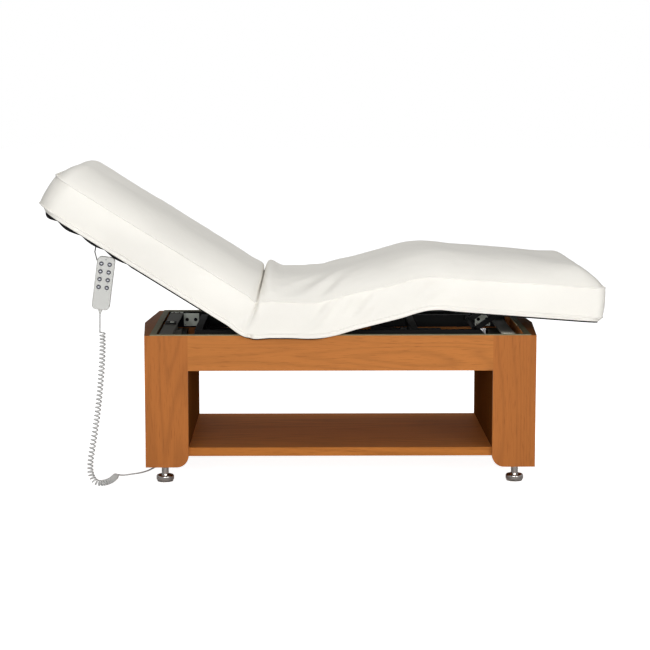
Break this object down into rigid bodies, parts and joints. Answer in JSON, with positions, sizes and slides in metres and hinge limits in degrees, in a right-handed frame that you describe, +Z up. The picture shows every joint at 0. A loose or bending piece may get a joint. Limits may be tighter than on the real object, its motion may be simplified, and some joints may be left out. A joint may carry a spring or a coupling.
{
  "type": "spa bed with cabinet base",
  "caption": "Electric spa bed: hinged cushioned back, seat and leg sections on a lift in an open wooden cabinet with a shelf, and a corded handset.",
  "frame": {"origin": "under the middle of the bed, on the floor, measured without the handset cord", "axes": "+X along the bed to the foot end, +Y across it away from the handset side, +Z up"},
  "size_m": [1.8906, 0.7715, 1.0489],
  "materials": {
    "cherry_wood": "satin lacquer",
    "olive_steel": "matte",
    "black_steel": "semi-matte",
    "grey_steel": "semi-matte",
    "zinc_plate": "satin",
    "rod_steel": "ground",
    "chrome": "polished",
    "white_leather": "fine grain",
    "black_board": "painted",
    "actuator_plastic": "matte",
    "handset_plastic": "satin",
    "hook_wire": "satin",
    "key_rubber": "matte",
    "cord_grey": "matte"
  },
  "bodies": {
    "base": {"aprons": "cherry_wood", "leg_boards": "cherry_wood", "end_panels": "cherry_wood", "bay_side_panels": "cherry_wood", "leg_floor_panels": "cherry_wood", "shelf": "cherry_wood", "tray_floor": "cherry_wood", "rim_frame": "olive_steel", "side_rails": "black_steel", "rail_plates": "zinc_plate", "cross_channels": "grey_steel", "arm_pivot_brackets": "grey_steel", "foot_lock_nuts": "chrome", "control_box": "actuator_plastic", "lift_actuator": "actuator_plastic", "curly_cord": "cord_grey", "floor_cable": "cord_grey"},
    "lift_rod": {"lift_rod": "rod_steel"},
    "foot_arms": {"foot_lift_arms": "grey_steel"},
    "head_arms": {"head_lift_arms": "grey_steel"},
    "bed": {"bed_frame": "grey_steel", "bed_frame_pins": "zinc_plate", "seat_board": "black_board", "seat_border": "white_leather", "seat_pad": "white_leather", "back_fold": "white_leather", "lap_fold": "white_leather", "back_actuator": "actuator_plastic", "leg_actuator": "actuator_plastic"},
    "back": {"back_board": "black_board", "back_border": "white_leather", "back_pad": "white_leather", "back_frame": "black_steel", "handset_front_shell": "handset_plastic", "handset_rear_shell": "handset_plastic", "handset_hook": "hook_wire"},
    "thigh": {"thigh_board": "black_board", "thigh_border": "white_leather", "thigh_pad": "white_leather", "thigh_frame": "black_steel", "knee_fold": "white_leather"},
    "calf": {"calf_board": "black_board", "calf_border": "white_leather", "calf_pad": "white_leather", "calf_frame": "black_steel"},
    "calf_prop": {"calf_prop": "black_steel"},
    "back_rod": {"back_rod": "rod_steel"},
    "leg_rod": {"leg_rod": "rod_steel"},
    "key_head_up": {"key_head_up": "key_rubber"},
    "key_head_down": {"key_head_down": "key_rubber"},
    "key_back_up": {"key_back_up": "key_rubber"},
    "key_back_down": {"key_back_down": "key_rubber"},
    "key_leg_up": {"key_leg_up": "key_rubber"},
    "key_leg_down": {"key_leg_down": "key_rubber"},
    "key_level_up": {"key_level_up": "key_rubber"},
    "key_level_down": {"key_level_down": "key_rubber"},
    "front_head_foot": {"front_head_foot": "chrome"},
    "front_foot_foot": {"front_foot_foot": "chrome"},
    "rear_head_foot": {"rear_head_foot": "chrome"},
    "rear_foot_foot": {"rear_foot_foot": "chrome"}
  },
  "joints": [
    {"name": "bed_lift", "type": "hinge", "parent": "base", "child": "foot_arms", "pos_m": [0.58314, 0.0033, 0.425], "axis": [0, 1, 0], "range_deg": [0, 44]},
    {"name": "bed_stays_level", "type": "hinge", "parent": "foot_arms", "child": "bed", "pos_m": [0.19908, 0.0033, 0.45186], "axis": [0, 1, 0], "range_deg": [-44, 0]},
    {"name": "head_arms_follow", "type": "hinge", "parent": "base", "child": "head_arms", "pos_m": [-0.0368, 0.0033, 0.425], "axis": [0, 1, 0], "range_deg": [0, 44]},
    {"name": "lift_rod_slide", "type": "slide", "parent": "base", "child": "lift_rod", "axis": [1, 0, 0], "range_m": [0, 0.036]},
    {"name": "backrest_raise", "type": "hinge", "parent": "bed", "child": "back", "pos_m": [-0.24386, 0.0033, 0.5237], "axis": [0, 1, 0], "range_deg": [-32, 43], "deforming": ["back_fold", "curly_cord"]},
    {"name": "back_rod_slide", "type": "slide", "parent": "bed", "child": "back_rod", "axis": [-1, 0, 0], "range_m": [-0.045, 0.055]},
    {"name": "legs_raise", "type": "hinge", "parent": "bed", "child": "thigh", "pos_m": [-0.00086, 0.0033, 0.5237], "axis": [0, -1, 0], "range_deg": [-14.2, 13.8], "deforming": ["lap_fold"]},
    {"name": "calf_stays_level", "type": "hinge", "parent": "thigh", "child": "calf", "pos_m": [0.35202, 0.0033, 0.61299], "axis": [0, 1, 0], "range_deg": [-18.55, 18.03], "deforming": ["knee_fold"]},
    {"name": "calf_prop_swing", "type": "hinge", "parent": "bed", "child": "calf_prop", "pos_m": [0.53114, 0.0033, 0.5017], "axis": [0, -1, 0], "range_deg": [-35.02, 34.03]},
    {"name": "leg_rod_slide", "type": "slide", "parent": "bed", "child": "leg_rod", "axis": [1, 0, 0], "range_m": [-0.015, 0.017]},
    {"name": "press_key_head_up", "type": "slide", "parent": "back", "child": "key_head_up", "axis": [0, 1, 0], "range_m": [0, 0.001], "stiffness_N_per_m": 300},
    {"name": "press_key_head_down", "type": "slide", "parent": "back", "child": "key_head_down", "axis": [0, 1, 0], "range_m": [0, 0.001], "stiffness_N_per_m": 300},
    {"name": "press_key_back_up", "type": "slide", "parent": "back", "child": "key_back_up", "axis": [0, 1, 0], "range_m": [0, 0.001], "stiffness_N_per_m": 300},
    {"name": "press_key_back_down", "type": "slide", "parent": "back", "child": "key_back_down", "axis": [0, 1, 0], "range_m": [0, 0.001], "stiffness_N_per_m": 300},
    {"name": "press_key_leg_up", "type": "slide", "parent": "back", "child": "key_leg_up", "axis": [0, 1, 0], "range_m": [0, 0.001], "stiffness_N_per_m": 300},
    {"name": "press_key_leg_down", "type": "slide", "parent": "back", "child": "key_leg_down", "axis": [0, 1, 0], "range_m": [0, 0.001], "stiffness_N_per_m": 300},
    {"name": "press_key_level_up", "type": "slide", "parent": "back", "child": "key_level_up", "axis": [0, 1, 0], "range_m": [0, 0.001], "stiffness_N_per_m": 300},
    {"name": "press_key_level_down", "type": "slide", "parent": "back", "child": "key_level_down", "axis": [0, 1, 0], "range_m": [0, 0.001], "stiffness_N_per_m": 300},
    {"name": "screw_front_head_foot", "type": "hinge", "parent": "base", "child": "front_head_foot", "pos_m": [-0.53636, -0.2657, 0], "axis": [0, 0, 1], "range_deg": [-720, 720]},
    {"name": "screw_front_foot_foot", "type": "hinge", "parent": "base", "child": "front_foot_foot", "pos_m": [0.65864, -0.2657, 0], "axis": [0, 0, 1], "range_deg": [-720, 720]},
    {"name": "screw_rear_head_foot", "type": "hinge", "parent": "base", "child": "rear_head_foot", "pos_m": [-0.53636, 0.2723, 0], "axis": [0, 0, 1], "range_deg": [-720, 720]},
    {"name": "screw_rear_foot_foot", "type": "hinge", "parent": "base", "child": "rear_foot_foot", "pos_m": [0.65864, 0.2723, 0], "axis": [0, 0, 1], "range_deg": [-720, 720]}
  ],
  "couplings": [
    {"joint": "bed_stays_level", "follows": "bed_lift", "ratio": -1},
    {"joint": "head_arms_follow", "follows": "bed_lift", "ratio": 1},
    {"joint": "lift_rod_slide", "follows": "bed_lift", "m_per_rad": 0.043902},
    {"joint": "back_rod_slide", "follows": "backrest_raise", "m_per_rad": 0.062502},
    {"joint": "calf_stays_level", "follows": "legs_raise", "ratio": 1.303},
    {"joint": "calf_prop_swing", "follows": "legs_raise", "ratio": 2.459},
    {"joint": "leg_rod_slide", "follows": "legs_raise", "m_per_rad": 0.057425}
  ]
}
